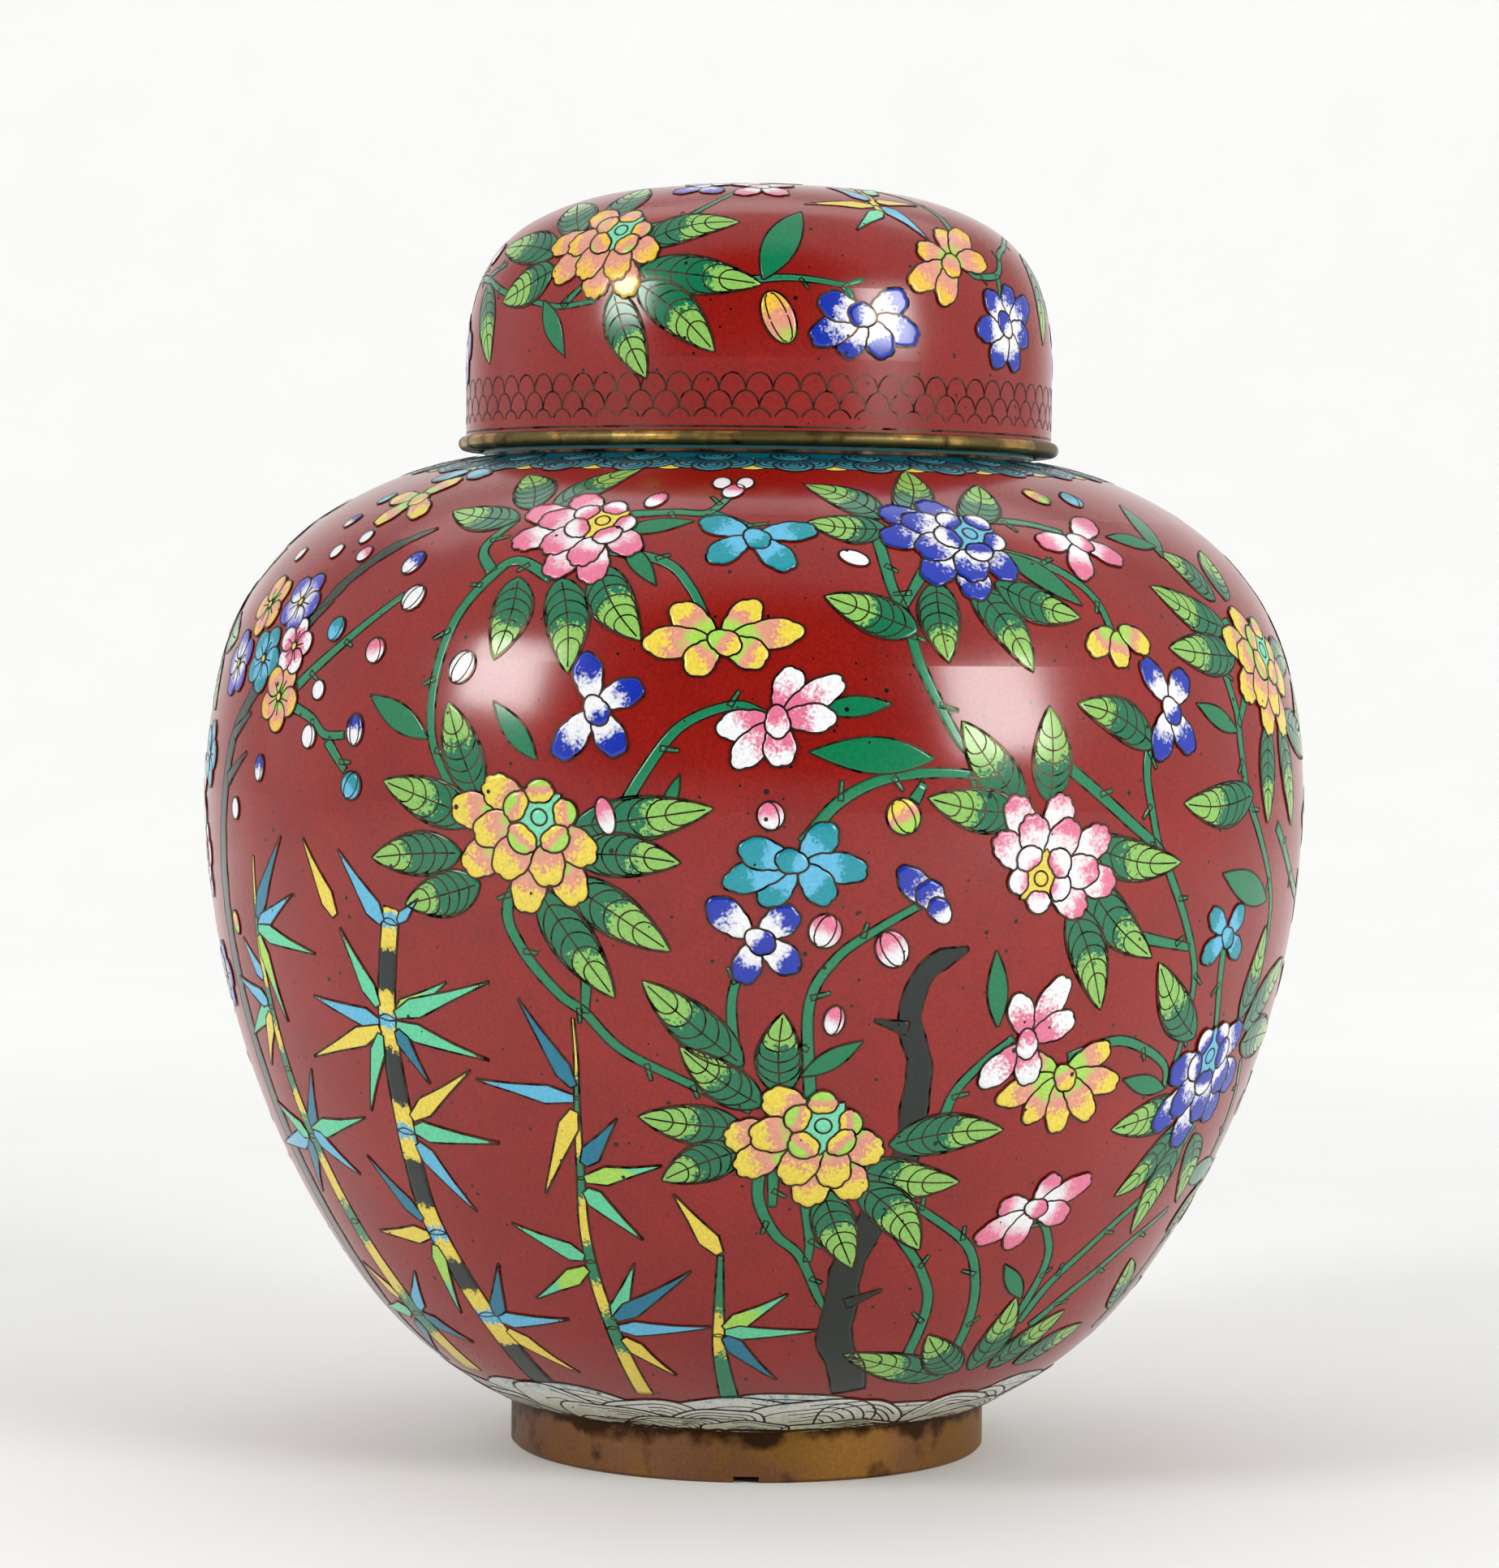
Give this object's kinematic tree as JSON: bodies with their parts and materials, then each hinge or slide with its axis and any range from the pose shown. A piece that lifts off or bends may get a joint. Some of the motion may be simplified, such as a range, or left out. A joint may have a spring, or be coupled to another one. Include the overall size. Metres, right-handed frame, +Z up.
{
  "type": "cloisonne ginger jar",
  "caption": "Round-bellied lidded ginger jar in red cloisonne enamel on copper, with a domed lift-off lid, brass edges and a copper foot ring.",
  "frame": {"origin": "centre of the foot ring's underside, on the surface the jar stands on", "axes": "+Z up along the jar's axis; -Y is the side with the notch in the foot ring, which is the front"},
  "size_m": [0.203, 0.203, 0.2332],
  "materials": {
    "copper": "satin",
    "aged_brass": "satin",
    "red_enamel": "gloss",
    "dark_turquoise_enamel": "gloss",
    "lining_enamel": "gloss",
    "white_enamel": "gloss",
    "green_enamel": "gloss",
    "blue_enamel": "gloss",
    "yellow_enamel": "gloss",
    "pink_enamel": "gloss",
    "dark_bark_enamel": "gloss"
  },
  "bodies": {
    "jar": {"foot_ring": "copper", "base_plate": "copper", "base_enamel": "lining_enamel", "lower_bowl": "copper", "upper_shoulder": "copper", "neck_collar": "copper", "neck_lip": "aged_brass", "neck_enamel": "lining_enamel", "body_lining": "lining_enamel", "neck_lining": "lining_enamel", "body_enamel": "red_enamel", "shoulder_border": "dark_turquoise_enamel", "shoulder_ring_wire": "aged_brass", "wave_border": "white_enamel", "wave_ring_wire": "aged_brass", "neck_ring_wire": "aged_brass"},
    "lid": {"lid_dome": "copper", "lid_lining": "lining_enamel", "lid_enamel": "red_enamel", "lid_scale_band": "red_enamel", "lid_edge_strip": "red_enamel", "lid_ring_wire": "aged_brass", "lid_rim": "aged_brass"}
  },
  "joints": [
    {"name": "lid_lift", "type": "slide", "parent": "jar", "child": "lid", "axis": [0, 0, 1], "range_m": [0, 0.08]}
  ]
}
